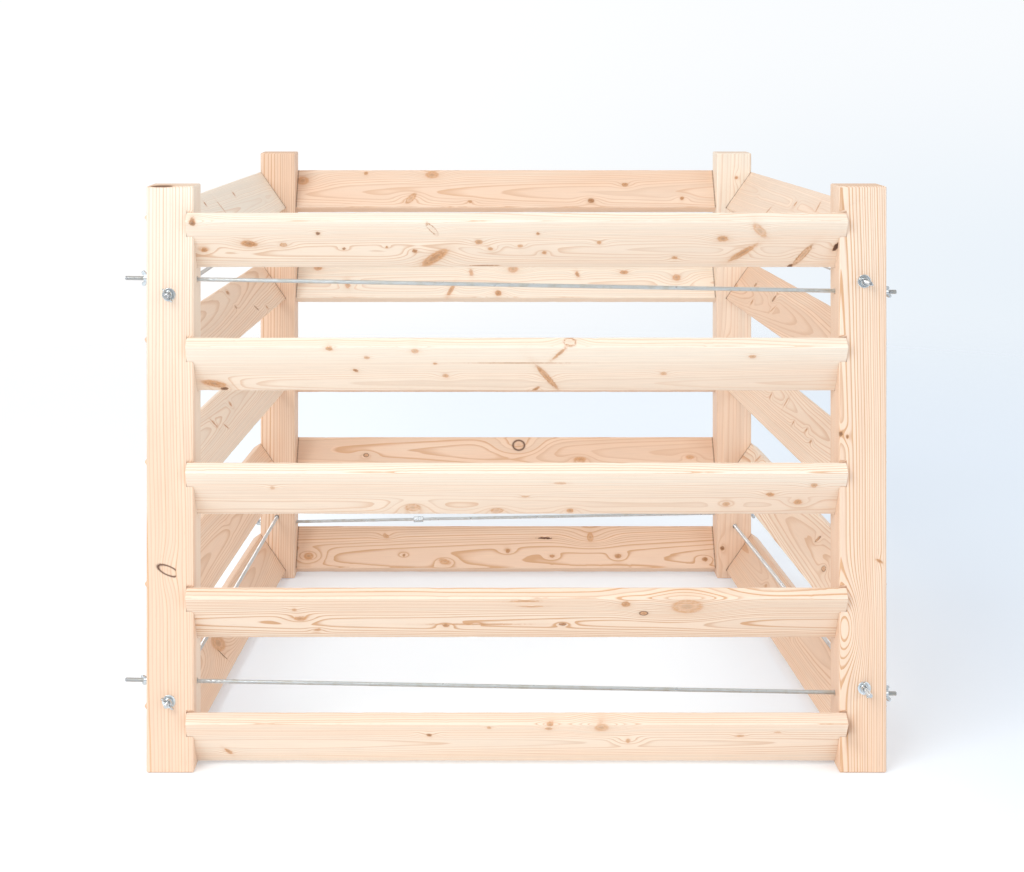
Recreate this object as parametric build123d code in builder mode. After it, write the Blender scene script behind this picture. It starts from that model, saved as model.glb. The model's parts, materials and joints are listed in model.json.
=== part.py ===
from build123d import *
import os
from math import atan2, cos, radians, sin, tan

# Slatted timber compost bin, open at the top and at the ground. Four posts carry the ends of tilted slats
# in slanted housings, and threaded rods with washers and wing nuts pull the posts together.
# The origin is on the ground in the middle of the bin, +Z is up and the front faces -Y.
# Each side has a frame of its own between its two posts, so a rod, slat or housing is made one way for all.

# The whole bin, measured over the posts: it narrows a little towards the back
front_width = 1000.0
back_narrowing = 86.0
bin_depth = 1000.0
post_height = 792.0

# Posts
post_size = 64.0
post_edge_radius = 2.5
post_end_chamfer = 1.5

# Slats, boards that lean outwards at the top by slat_tilt degrees from upright
slats_per_side = 5
slat_width = 83.0
slat_thickness = 20.0
slat_edge_radius = 3.0
slat_tilt = 35.0
slat_ground_gap = 3.0
slat_top_drop = 34.3

# Housings, the slanted grooves in the posts that hold the slat ends.
# The heel is the wood left between the housings of two neighbouring sides.
housing_depth = 10.0
housing_heel = 5.0
housing_face_gap = 0.4
housing_end_gap = 0.5

# Threaded rods, which fall from one post to the next so that they pass each other inside a post
rod_diameter = 6.0
rod_hole_diameter = 8.0
rod_end_chamfer = 0.8
rod_fall = 17.0
rod_to_slat = 14.7
rod_long_end = 34.5
rod_short_end = 20.5

# The lower rod at the back is two lengths, joined by a long hexagon nut
coupling_flats = 10.0
coupling_length = 18.0
coupling_chamfer = 0.6
coupling_from_middle = 164.0
coupling_rod_gap = 1.0

# Washers
washer_diameter = 18.0
washer_hole_diameter = 6.4
washer_thickness = 1.6
washer_edge_chamfer = 0.25

# Wing nuts
thread_gap = 0.05
nut_base_diameter = 12.0
nut_top_diameter = 10.0
nut_height = 7.0
nut_seat_gap = 0.02
wing_span = 22.5
wing_height = 10.4
wing_thickness = 2.4
wing_tip_radius = 3.0
wing_root_radius = 2.4
wing_root_height = 3.4
wing_edge_radius = 0.7

# How far each wing nut is turned from level, in degrees, as it was left when it was tightened
nut_turns = {
    ("front", "upper", "left"): 75,
    ("front", "upper", "right"): 30,
    ("front", "lower", "left"): 50,
    ("front", "lower", "right"): 50,
    ("right", "upper", "front"): 155,
    ("right", "upper", "back"): 20,
    ("right", "lower", "front"): 102,
    ("right", "lower", "back"): 66,
    ("back", "upper", "right"): 140,
    ("back", "upper", "left"): 8,
    ("back", "lower", "right"): 85,
    ("back", "lower", "left"): 32,
    ("left", "upper", "back"): 165,
    ("left", "upper", "front"): 120,
    ("left", "lower", "back"): 12,
    ("left", "lower", "front"): 137,
}

# The sides in turn from the front, and the names of the left and right end of each, seen from outside
sides = ("front", "right", "back", "left")
side_ends = {
    "front": {-1: "left", 1: "right"},
    "right": {-1: "front", 1: "back"},
    "back": {-1: "right", 1: "left"},
    "left": {-1: "back", 1: "front"},
}
corners = ("front_left", "front_right", "back_right", "back_left")
slat_numbers = range(1, slats_per_side + 1)

# Where the posts stand, each at the left end of its side; all are square to the front
front_reach = (front_width - post_size) / 2
back_reach = front_reach - back_narrowing / 2
depth_reach = (bin_depth - post_size) / 2
post_middles = (
    Vector(-front_reach, -depth_reach),
    Vector(front_reach, -depth_reach),
    Vector(back_reach, depth_reach),
    Vector(-back_reach, depth_reach),
)

# Where the slats lie: the innermost edge keeps the heel, the rest follows from the tilted section
tilt = radians(slat_tilt)
slat_depth = slat_width * sin(tilt) + slat_thickness * cos(tilt)
slat_rise = slat_width * cos(tilt) + slat_thickness * sin(tilt)
slat_inner_inset = post_size - housing_depth - housing_heel
slat_outset = post_size / 2 - slat_inner_inset + slat_depth / 2
lowest_slat = slat_ground_gap + slat_rise / 2
highest_slat = post_height - slat_top_drop - slat_rise / 2
slat_pitch = (highest_slat - lowest_slat) / (slats_per_side - 1)

# A housing runs out through the post's outer face
housing_length = slat_width + post_size / sin(tilt)

# Where the rods run: just under the top slat and just over the bottom slat
rod_heights = {
    "upper": highest_slat - slat_rise / 2 - rod_to_slat - rod_fall / 2,
    "lower": lowest_slat + slat_rise / 2 + rod_to_slat + rod_fall / 2,
}


def side_posts(side):
    """Middles of the posts at the left and right end of a side, as it is seen from outside."""
    return post_middles[side], post_middles[(side + 1) % len(sides)]


def half_run(side):
    """Half the distance between the middles of a side's two posts."""
    left, right = side_posts(side)
    return (right - left).length / 2


def face_normal(side, end):
    """Direction in which a post's outer face looks at one end of a side."""
    return Vector(end, 0, 0).rotate(Axis.Z, 90 * side)


def splay(side):
    """Angle between a side and the square faces of its posts."""
    left, right = side_posts(side)
    return radians((right - left).get_angle(face_normal(side, 1)))


def post_half(side):
    """From a post's middle to its face, along a side."""
    return post_size / 2 / cos(splay(side))


def on_side(plane, side):
    """A plane given in a side's own frame: x along the side from midway between its posts, y into the bin."""
    left, right = side_posts(side)
    frame = Plane((left + right) / 2, x_dir=right - left, z_dir=(0, 0, 1))
    return Plane(frame.location * plane.location)


def slat_plane(side, number):
    """Plane across the middle of a slat: x runs up its slope, z along it. Number 1 is the top slat."""
    height = highest_slat - (number - 1) * slat_pitch
    up_the_slope = (0, -sin(tilt), cos(tilt))
    return on_side(Plane((0, -slat_outset, height), x_dir=up_the_slope, z_dir=(1, 0, 0)), side)


def rod_slope(side):
    """Angle by which a side's rods fall from its left end to its right end."""
    return atan2(rod_fall, 2 * half_run(side))


def rod_plane(side, level):
    """Plane across the middle of a rod: x points into the bin, z runs down to the rod's low end."""
    down_the_rod = (cos(rod_slope(side)), 0, -sin(rod_slope(side)))
    return on_side(Plane((0, 0, rod_heights[level]), x_dir=(0, 1, 0), z_dir=down_the_rod), side)


def rod_point(side, level, along):
    """Point on a rod's axis at a level distance along its side, counted from the middle."""
    return rod_plane(side, level).offset(along / cos(rod_slope(side))).origin


def rod_half_run(side):
    """From the middle of a rod to the outer face of a post, along the rod."""
    return (half_run(side) + post_half(side)) / cos(rod_slope(side))


def nut_plane(side, level, end):
    """Seat of a wing nut: z runs out along the rod, clear of the washer, which lies flat on the post."""
    rod = rod_plane(side, level)
    outward = rod.z_dir * end
    lean = radians(outward.get_angle(face_normal(side, end)))
    clear = (washer_thickness + nut_base_diameter / 2 * sin(lean)) / cos(lean) + nut_seat_gap
    seat = rod.offset(end * (rod_half_run(side) + clear))
    name = sides[side]
    turn = nut_turns[name, level, side_ends[name][end]]
    return Plane(Plane(seat.origin, x_dir=seat.x_dir, z_dir=outward).location * Rot(0, 0, turn))


def make_post(corner):
    """Post at the left end of one side and so at the right end of the side before it."""
    seats = ((corner, -1), ((corner - 1) % len(sides), 1))
    with BuildPart() as post:
        with BuildSketch(Plane(post_middles[corner])):
            RectangleRounded(post_size, post_size, post_edge_radius)
        extrude(amount=post_height)
        chamfer(post.faces().filter_by(Axis.Z).edges(), post_end_chamfer)

        for side, end in seats:
            mouth = half_run(side) - post_half(side)
            run_in = post_size * tan(splay(side))
            for number in slat_numbers:
                with BuildSketch(slat_plane(side, number).offset(end * (mouth - run_in))):
                    with Locations((-slat_width / 2, 0)):
                        Rectangle(
                            housing_length,
                            slat_thickness + 2 * housing_face_gap,
                            align=(Align.MIN, Align.CENTER),
                        )
                extrude(amount=end * (run_in + housing_depth), mode=Mode.SUBTRACT)

        for side, end in seats:
            along = on_side(Plane.YZ, side).z_dir
            for level in rod_heights:
                middle = rod_point(side, level, end * half_run(side))
                with Locations(Plane(middle, z_dir=along)):
                    Hole(rod_hole_diameter / 2)
    return post.part


def make_slat(side, number):
    """Board with rounded long edges, as long as the gap between two posts and the housings at its ends."""
    half_length = half_run(side) - post_half(side) + housing_depth - housing_end_gap
    with BuildPart() as slat:
        with BuildSketch(slat_plane(side, number)):
            RectangleRounded(slat_width, slat_thickness, slat_edge_radius)
        extrude(amount=half_length, both=True)
    return slat.part


def make_rods(level, joined_sides):
    """One rod on each side at one level. A joined rod is two lengths that meet inside its coupling nut."""
    with BuildPart() as rods:
        for side, name in enumerate(sides):
            high_end = -(rod_half_run(side) + rod_long_end)
            low_end = rod_half_run(side) + rod_short_end
            lengths = [(high_end, low_end)]
            if name in joined_sides:
                lengths = [
                    (high_end, coupling_from_middle - coupling_rod_gap / 2),
                    (coupling_from_middle + coupling_rod_gap / 2, low_end),
                ]
            for start, stop in lengths:
                with BuildSketch(rod_plane(side, level).offset(start)):
                    Circle(rod_diameter / 2)
                extrude(amount=stop - start)
        chamfer(rods.edges().filter_by(GeomType.CIRCLE), rod_end_chamfer)
    return rods.part


def make_coupling(side, level):
    """Long hexagon nut over the joint between two lengths of rod."""
    middle = rod_plane(side, level).offset(coupling_from_middle)
    with BuildPart(middle) as coupling:
        with BuildSketch(middle):
            RegularPolygon(coupling_flats / 2, 6, major_radius=False)
        extrude(amount=coupling_length / 2, both=True)
        ends = coupling.faces().filter_by(Axis(middle.origin, middle.z_dir))
        chamfer(ends.edges(), coupling_chamfer)
        Hole(rod_diameter / 2 + thread_gap)
    return coupling.part


def make_washer(side, level, end):
    """Washer lying flat on a post's outer face, round the rod."""
    along = half_run(side) + post_half(side) + washer_thickness / 2 / cos(splay(side))
    middle = Plane(rod_point(side, level, end * along), z_dir=face_normal(side, end))
    with BuildPart() as washer:
        with BuildSketch(middle):
            Circle(washer_diameter / 2)
        extrude(amount=washer_thickness / 2, both=True)
        chamfer(washer.edges(), washer_edge_chamfer)
        with Locations(middle):
            Hole(washer_hole_diameter / 2)
    return washer.part


def make_wing_nut(side, level, end):
    """Wing nut: a tapered hub on the rod's thread with two rounded wings."""
    seat = nut_plane(side, level, end)
    tip_reach = wing_span / 2 - wing_tip_radius
    tip_height = wing_height - wing_tip_radius
    root_reach = nut_top_diameter / 2 - wing_root_radius / 2
    with BuildPart(seat) as wing_nut:
        for way in (-1, 1):
            with BuildSketch(Plane(seat.origin, x_dir=seat.x_dir, z_dir=-seat.y_dir)):
                with Locations((way * root_reach, wing_root_height)):
                    Circle(wing_root_radius)
                with Locations((way * tip_reach, tip_height)):
                    Circle(wing_tip_radius)
                make_hull()
        extrude(amount=wing_thickness / 2, both=True)
        fillet(wing_nut.edges(), wing_edge_radius)
        Cone(
            nut_base_diameter / 2,
            nut_top_diameter / 2,
            nut_height,
            align=(Align.CENTER, Align.CENTER, Align.MIN),
        )
        Hole(rod_diameter / 2 + thread_gap)
    return wing_nut.part


def write(piece, name):
    """Label one finished piece and save it under its own name."""
    piece.label = name
    export_step(piece, f"parts/{name}.step")


os.makedirs("parts", exist_ok=True)

for corner, name in enumerate(corners):
    write(make_post(corner), f"{name}_post")

for side, name in enumerate(sides):
    for number in slat_numbers:
        write(make_slat(side, number), f"{name}_slat_{number}")

write(make_rods("upper", joined_sides=()), "upper_rods")
write(make_rods("lower", joined_sides=("back",)), "lower_rods")
write(make_coupling(sides.index("back"), "lower"), "coupling_nut")

for side, name in enumerate(sides):
    for level in rod_heights:
        for end, end_name in side_ends[name].items():
            write(make_washer(side, level, end), f"washer_{name}_{level}_{end_name}")
            write(make_wing_nut(side, level, end), f"wing_nut_{name}_{level}_{end_name}")
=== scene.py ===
"""Looks of a slatted timber compost bin: larch posts and slats, zinc-plated rods, washers and wing nuts.

The file is laid out as an add-on and run as a script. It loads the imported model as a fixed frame, builds
every piece in that frame's metres, and lets each piece ride on the body that carries it.
"""

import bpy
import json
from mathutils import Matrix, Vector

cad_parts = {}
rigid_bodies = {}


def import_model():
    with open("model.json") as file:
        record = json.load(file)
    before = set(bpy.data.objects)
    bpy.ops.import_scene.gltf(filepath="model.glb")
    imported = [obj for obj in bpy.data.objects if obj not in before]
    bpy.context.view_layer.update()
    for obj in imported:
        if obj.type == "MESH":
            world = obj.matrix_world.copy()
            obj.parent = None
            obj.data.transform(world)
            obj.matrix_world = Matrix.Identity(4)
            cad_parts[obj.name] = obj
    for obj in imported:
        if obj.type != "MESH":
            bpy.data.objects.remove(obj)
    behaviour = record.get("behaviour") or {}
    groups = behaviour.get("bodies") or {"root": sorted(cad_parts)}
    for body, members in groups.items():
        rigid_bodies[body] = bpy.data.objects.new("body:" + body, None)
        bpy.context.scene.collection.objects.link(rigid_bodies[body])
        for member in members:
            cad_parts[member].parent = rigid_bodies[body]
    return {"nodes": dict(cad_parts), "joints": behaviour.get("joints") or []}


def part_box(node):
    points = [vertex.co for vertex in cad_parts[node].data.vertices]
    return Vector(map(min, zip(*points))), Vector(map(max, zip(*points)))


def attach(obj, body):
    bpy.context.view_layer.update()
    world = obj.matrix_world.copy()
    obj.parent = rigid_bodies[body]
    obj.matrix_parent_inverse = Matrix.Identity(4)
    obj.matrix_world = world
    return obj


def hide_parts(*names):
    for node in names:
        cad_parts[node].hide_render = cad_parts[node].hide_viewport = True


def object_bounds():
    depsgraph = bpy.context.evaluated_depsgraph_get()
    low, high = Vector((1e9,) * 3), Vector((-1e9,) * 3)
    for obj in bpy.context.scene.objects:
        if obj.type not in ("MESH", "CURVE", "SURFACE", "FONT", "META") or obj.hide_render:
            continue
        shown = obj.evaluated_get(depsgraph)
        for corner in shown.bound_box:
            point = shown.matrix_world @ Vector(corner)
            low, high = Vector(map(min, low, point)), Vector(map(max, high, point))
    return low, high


bl_info = {
    "name": "Slatted Compost Bin",
    "version": (1, 0, 0),
    "blender": (4, 5, 0),
    "location": "View3D > Sidebar > Compost Bin",
    "description": "Larch boards, zinc hardware and a pale studio for a slatted compost bin",
    "category": "Object",
}

import json
import math
import random
from typing import NamedTuple

import bmesh
import bpy
import numpy as np
from bpy.props import FloatProperty, FloatVectorProperty, IntProperty, PointerProperty
from mathutils import Matrix, Vector, noise

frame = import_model()
CAD_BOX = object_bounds()

MM = 0.001
TO_MM = (1 / MM, 1 / MM, 1 / MM)
UP = Vector((0, 0, 1))
SIDES = ("front", "right", "back", "left")
CORNERS = ("front_left", "front_right", "back_right", "back_left")
LEVELS = ("upper", "lower")
SLATS_PER_SIDE = 5
# The rods stay a hair inside their solids
END_TRIM = 0.1 * MM
# How deep the slats' ends sit in the posts, in millimetres
HOUSING_DEPTH = 10
# Further along than any board reaches, for a board that shows no housing
NO_HOUSING = 9999.0
JOINTS = {joint["name"]: joint for joint in frame["joints"]}


class Knot(NamedTuple):
    """A knot on a board, in millimetres from the board's middle and degrees from its length.

    Dark stains its face and rim its outline, both from 0 to 1. Depth is the face that it lies on, and bend
    is how far it pushes the ring lines aside, in half heights.
    """

    along: float
    across: float
    half_length: float
    half_height: float
    turn: float = 0
    dark: float = 0.4
    rim: float = 0.3
    depth: float = 10
    bend: float = 0.9


class Timber(NamedTuple):
    """How one piece was cut from its log: where the pith ran, how it leaned, and how the rings look.

    Warmth is how pink the heartwood is, and fade how much of it is lost in each millimetre along the piece.
    On the back right post and the lower back slats, part of this warmer, darker tone is painted shade.
    """

    pith: tuple
    lean: tuple
    ring: float
    contrast: float
    warmth: float
    heart: float = 900
    knots: tuple = ()
    fade: float = 0


# Slats that show most, as the photograph shows them: pith and knots lie in millimetres on the board's face
SLAT_TIMBER = {
    "front_slat_1": Timber((-10, -20), (0.004, 0.008), 1.7, 0.80, 0.46, 48, (
        Knot(-436, 38, 4.5, 4.5, 0, 0.85, 0.5, 8), Knot(-424, -9, 5, 4, 0, 0.6, 0.3),
        Knot(-362, 2, 12, 6, -8, 0.6, 0.25), Knot(-316, 0, 5, 3.5, 0, 0.35, 0.45),
        Knot(-268, 20, 3, 3, 0, 0.9), Knot(-234, -7, 2.5, 2.5, 0, 0.8),
        Knot(-176, -4, 2, 2, 0, 0.6), Knot(-138, -11, 3.5, 3.5, 0, 0.7, 0.5),
        Knot(-114, 28, 13, 4.5, -56, 0.1, 0.5), Knot(-111, -23, 24, 8, 40, 0.5, 0.25),
        Knot(-51, 5, 5, 4, 0, 0.5, 0.3), Knot(-35, -7, 3.5, 3, 0, 0.45),
        Knot(5, -2, 4, 2.5, 0, 0.4), Knot(29, 20, 2.5, 2.5, 0, 0.6),
        Knot(38, -14, 3.5, 3, 0, 0.5), Knot(112, 4, 3, 3, 0, 0.45),
        Knot(216, -23, 4, 3, 0, 0.45), Knot(279, 11, 8, 5.5, 0, 0.5, 0.15),
        Knot(328, 25, 15, 6, -52, 0.3, 0.3), Knot(308, -14, 24, 5, 40, 0.5, 0.2),
        Knot(390, -18, 21, 4.5, 58, 0.35, 0.55), Knot(375, -38, 5, 3, 50, 0.95, 0.3),
        Knot(434, -3, 9, 4, 60, 1.0, 0.2), Knot(-43, -37, 22, 0.9, 0, 0.8),
    )),
    "front_slat_2": Timber((-26, -24), (0.002, 0.007), 1.7, 0.60, 0.42, 52, (
        Knot(-252, 38, 5, 3, 0, 0.5, 0.4), Knot(-202, 22, 4, 2.5, 0, 0.4),
        Knot(-218, -2, 4, 3, -25, 0.75), Knot(-137, 34, 5, 4, 0, 0.35),
        Knot(-110, 11, 3, 2, 0, 0.45), Knot(-96, -12, 4, 3.5, 0, 0.4),
        Knot(5, 12, 60, 0.8, 0, 0.65), Knot(58, 30, 16, 2.5, 50, 0.45, 0.2),
        Knot(72, 42, 9, 4.5, 0, 0.1, 0.5, 0), Knot(42, -15, 25, 4, -56, 0.45, 0.5),
        Knot(27, -37, 7, 2.2, 40, 0.6, 0.3), Knot(-411, -27, 18, 6, -14, 0.5, 0.3),
        Knot(-398, -36, 6, 3, 0, 0.95, 0.3), Knot(200, -8, 4, 3, 0, 0.35),
        Knot(318, 24, 5, 3, 0, 0.4),
    )),
    "front_slat_3": Timber((-22, -28), (0.002, -0.006), 1.8, 0.85, 0.48, 56, (
        Knot(-141, -27, 11, 7, 0, 0.28, 0.4), Knot(-26, -33, 9, 5, 0, 0.28, 0.4),
        Knot(74, -33, 5, 4, 0, 0.5), Knot(60, 21, 9, 2, 0, 0.3),
        Knot(12, -5, 5, 2, 0, 0.3), Knot(-330, 12, 3, 3, 0, 0.3),
        Knot(286, -20, 5, 4, 0, 0.4), Knot(344, -1, 6, 4, 0, 0.5),
        Knot(383, -16, 6, 5, 0, 0.45), Knot(402, 17, 5, 4, 0, 0.4),
    )),
    "front_slat_4": Timber((-10, -20), (-0.004, 0.014), 2.3, 1.6, 0.55, 90, (
        Knot(-293, 0, 9, 5, 0, 0.45, 0.3), Knot(-271, -24, 5, 3, 20, 0.4),
        Knot(-96, -14, 5, 4, 0, 0.6, 0.4), Knot(-54, -12, 64, 1.6, 0, 0.4),
        Knot(63, -12, 5, 3, 0, 0.7, 0.8), Knot(12, 36, 19, 2, 0, 0.4),
        Knot(20, 25, 16, 1.6, 0, 0.35), Knot(147, 30, 6, 5.5, 0, 0.5, 0.45),
        Knot(172, 11, 6, 4.5, 0, 0.5, 0.95), Knot(230, 25, 21, 14, 0, 0.3, 0.35),
        Knot(-300, 18, 3, 3, 0, 0.4),
    )),
    "front_slat_5": Timber((0, -24), (0.004, -0.007), 1.7, 1.0, 0.5, 60, (
        Knot(-118, 18, 3.5, 3.5, 0, 0.8, 0.5), Knot(-37, 34, 3, 2.5, 0, 0.4),
        Knot(45, 40, 5, 3, 0, 0.45), Knot(43, 32, 5, 3, 0, 0.4),
        Knot(114, 34, 10, 8, 0, 0.35, 0.2), Knot(151, 5, 3, 5, 0, 0.4),
        Knot(302, 16, 6, 2.5, 0, 0.4), Knot(352, 24, 5, 2, 0, 0.3),
        Knot(-392, -18, 8, 3, -50, 0.5, 0.3),
    )),
    "back_slat_1": Timber((-8, 44), (0.0, 0.014), 2.0, 0.75, 0.85, 900, (
        Knot(383, 17, 12, 9, 0, 0.4, 0.3, -10), Knot(264, 33, 4, 4, 0, 0.5, 0.4, -10),
        Knot(178, -22, 14, 6, -50, 0.3, 0.45, -10), Knot(139, 30, 13, 8, 0, 0.4, 0.3, -10),
        Knot(67, -29, 4, 3, 0, 0.5, 0.5, -10), Knot(-160, -27, 6, 5, 0, 0.75, 0.6, -10),
        Knot(-225, 8, 6, 4, 0, 0.5, 0.5, -10), Knot(-331, -22, 4, 4, 0, 0.6, 0.4, -10),
    )),
    "back_slat_2": Timber((-10, 30), (0.0, 0.006), 1.8, 0.55, 0.05, 900, (
        Knot(354, 22, 8, 6, 0, 0.45, 0.3, -10), Knot(297, -13, 9, 5, 80, 0.4, 0.3, -10),
        Knot(103, -26, 14, 4, -62, 0.45, 0.3, -10), Knot(14, -32, 6, 6, 0, 0.55, 0.3, -10),
        Knot(-14, 19, 10, 8, 0, 0.35, 0.2, -10), Knot(65, 12, 8, 4, 80, 0.35, 0.2, -10),
        Knot(-135, 8, 7, 3.5, 70, 0.5, 0.3, -10), Knot(-223, 12, 8, 4, 0, 0.45, 0.4, -10),
        Knot(-322, 1, 8, 7, 0, 0.4, 0.3, -10),
    )),
    # The two lower back slats are warmer and darker: partly their own wood, partly painted shade from the
    # front slats
    "back_slat_4": Timber((12, 60), (0.01, 0.014), 2.1, 0.9, 0.95, 900, (
        Knot(-25, 24, 12, 11, 0, 0.2, 1.0, -10), Knot(263, 4, 5, 4, 0, 0.4, 0.9, -10),
        Knot(-140, -4, 12, 5, 0, 0.45, 0.2, -10), Knot(-347, 0, 8, 4, 0, 0.35, 0.3, -10),
    )),
    "back_slat_5": Timber((-20, 70), (0.0, 0.012), 2.1, 1.7, 1.0, 900, (
        Knot(-74, 17, 14, 1.8, 0, 1.0, 0.2, -10), Knot(370, -18, 9, 7, 0, 0.45, 0.4, -10),
        Knot(226, 21, 6, 4, 40, 0.35, 0.4, -10), Knot(191, -16, 3, 3, 0, 0.7, 0.4, -10),
        Knot(114, -28, 12, 5, 20, 0.35, 0.3, -10), Knot(-4, -8, 4, 4, 0, 0.6, 0.5, -10),
        Knot(-87, -18, 5, 3, 0, 0.5, 0.5, -10), Knot(-160, 19, 6, 9, 0, 0.35, 0.4, -10),
        Knot(-211, -18, 6, 4, 0, 0.6, 0.5, -10), Knot(-374, -24, 5, 4, 0, 0.7, 0.5, -10),
    )),
    "left_slat_1": Timber((-6, -30), (0.004, 0.006), 1.9, 0.55, 0.05, 900, (
        Knot(150, 22, 4, 4, 0, 0.6, 0.4, -10), Knot(60, 8, 12, 2.5, 70, 0.4, 0.4, -10),
        Knot(-90, 20, 5, 4, 0, 0.5, 0.4, -10), Knot(-300, -10, 7, 5, 0, 0.5, 0.3, 10),
    )),
    "left_slat_3": Timber((10, -46), (0.002, 0.010), 1.7, 0.7, 0.35, 900, (
        Knot(110, 12, 9, 3, 60, 0.5, 0.4, -10), Knot(60, -6, 7, 2.5, 40, 0.55, 0.4, -10),
        Knot(-40, 14, 5, 4, 0, 0.5, 0.4, -10), Knot(-260, -8, 6, 5, 0, 0.5, 0.3, 10),
    )),
    "left_slat_5": Timber((16, -52), (0.002, 0.012), 2.0, 1.0, 1.0, 900, (
        Knot(104, 2, 30, 14, 10, 0.42, 0.35, -10), Knot(118, -14, 16, 2, 62, 0.95, 0.3, -10),
        Knot(-120, 8, 8, 5, 0, 0.5, 0.3, -10), Knot(-250, -12, 6, 4, 0, 0.5, 0.4, 10),
    )),
    "right_slat_3": Timber((14, -48), (0.002, 0.012), 1.9, 0.9, 0.55, 900, (
        Knot(-40, -4, 5, 2.5, 60, 0.5, 0.4, -10), Knot(-120, 2, 4, 3, 0, 0.5, 0.4, -10),
        Knot(-172, -8, 5, 3, 0, 0.5, 0.4, -10), Knot(60, 14, 10, 3, 70, 0.4, 0.4, -10),
        Knot(160, 5, 6, 3, 50, 0.45, 0.4, -10), Knot(300, 12, 6, 5, 0, 0.5, 0.3, 10),
    )),
    "right_slat_1": Timber((8, -34), (0.004, 0.008), 1.9, 0.6, 0.55, 900, (
        Knot(-160, 18, 10, 3, 60, 0.4, 0.4, -10), Knot(-20, 10, 5, 5, 0, 0.45, 0.4, -10),
        Knot(120, -16, 9, 3, -55, 0.45, 0.4, -10), Knot(260, 4, 6, 5, 0, 0.5, 0.3, 10),
    )),
}

# Posts, whose own z axis looks to the front: the pith lies in their section, and knots on the front face
POST_TIMBER = {
    "front_left_post": Timber((120, 160), (0.006, 0.002), 3.0, 1.05, 1.0, 208, (
        Knot(-123, 2, 17, 6.5, 66, 0.1, 1.0, 32), Knot(-127, -14, 9, 8, 0, 0.0, 0.0, 32, 0),
        Knot(396, 12, 1.4, 17, 0, 1.0, 0.2, 32, 0),
    ), 0.0022),
    "front_right_post": Timber((34, 62), (0.004, 0.012), 2.6, 2.1, 0.82, 900, (
        Knot(-200, 20, 30, 11, 0, 0.0, 0.0, 32, -1.5), Knot(62, 30, 4, 3, 0, 0.9, 0.3, 32),
        Knot(58, 21, 3, 2.5, 0, 0.8, 0.3, 32), Knot(-110, -22, 5, 2, 60, 0.6, 0.3, 32),
    ), 0.0008),
    # Heartwood fades towards the top, so the lower part is warmer and darker: partly its own wood, partly
    # painted shade
    "back_right_post": Timber((46, -90), (0.0, 0.010), 2.6, 0.5, 0.76, 900, (
        Knot(350, -4, 3, 3, 0, 0.5, 0.3, 32), Knot(-340, 22, 4, 4, 0, 0.85, 0.5, 32),
        Knot(40, 12, 6, 4, 0, 0.5, 0.4, 32), Knot(-210, -14, 8, 5, 0, 0.5, 0.4, -32),
    ), 0.0029),
    "back_left_post": Timber((60, -90), (0.004, 0.004), 2.2, 1.5, 1.0, 900, (
        Knot(120, -10, 5, 4, 0, 0.6, 0.4, -32), Knot(-150, 14, 7, 4, 0, 0.5, 0.3, -32),
    )),
}


def chance_timber(name, size):
    """Timber of a piece that the photograph hardly shows, drawn from the piece's name so that it stays."""
    draw = random.Random(name)
    length, width, thickness = size / MM
    knots = tuple(
        Knot(
            along=draw.uniform(-0.46, 0.46) * length,
            across=draw.uniform(-0.38, 0.38) * width,
            half_length=draw.uniform(3, 11),
            half_height=draw.uniform(2.5, 6),
            turn=draw.choice((0, 0, 0, 40, -50)),
            dark=draw.uniform(0.3, 0.7),
            rim=draw.choice((0.2, 0.3, 0.8)),
            depth=draw.choice((-0.5, 0.5)) * thickness,
        )
        for _ in range(draw.randint(6, 11))
    )
    side = draw.choice((-1, 1))
    return Timber(
        pith=(draw.uniform(-25, 25), side * draw.uniform(38, 75)),
        lean=(draw.uniform(-0.006, 0.006), draw.choice((-1, 1)) * draw.uniform(0.008, 0.020)),
        ring=draw.uniform(1.8, 2.5),
        contrast=draw.uniform(0.8, 1.2),
        warmth=draw.uniform(0.8, 1.0),
        heart=draw.uniform(70, 140),
        knots=knots,
    )


# Settings that a user would change

COLOUR = {"subtype": "COLOR", "min": 0, "max": 1}


class TimberSettings(bpy.types.PropertyGroup):
    """Colours and workmanship of the larch boards."""

    earlywood: FloatVectorProperty(
        name="Earlywood", description="Pale wood between ring lines", default=(0.91, 0.81, 0.685), **COLOUR,
    )
    latewood: FloatVectorProperty(
        name="Latewood", description="Honey-brown ring lines", default=(0.66, 0.385, 0.215), **COLOUR,
    )
    heartwood: FloatVectorProperty(
        name="Heartwood", description="Pink tone nearer the pith", default=(0.84, 0.61, 0.455), **COLOUR,
    )
    knot: FloatVectorProperty(
        name="Knot", description="Face of a sound knot", default=(0.68, 0.325, 0.13), **COLOUR,
    )
    bark: FloatVectorProperty(
        name="Bark ring", description="Rim and heart of a dead knot", default=(0.11, 0.042, 0.02), **COLOUR,
    )
    edge_radius: FloatProperty(
        name="Edge radius", description="Rounding of slat edges", unit="LENGTH", default=0.003, min=0.0005,
    )
    end_chamfer: FloatProperty(
        name="End chamfer", description="Softening round a slat's ends", unit="LENGTH", default=0.0006, min=0,
    )
    edge_wear: FloatProperty(
        name="Edge wear", description="Depth of dents along an edge", unit="LENGTH", default=0.0006, min=0,
    )
    mesh_step: FloatProperty(
        name="Mesh step", description="Between sections of a slat", unit="LENGTH", default=0.006, min=0.001,
    )


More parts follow.
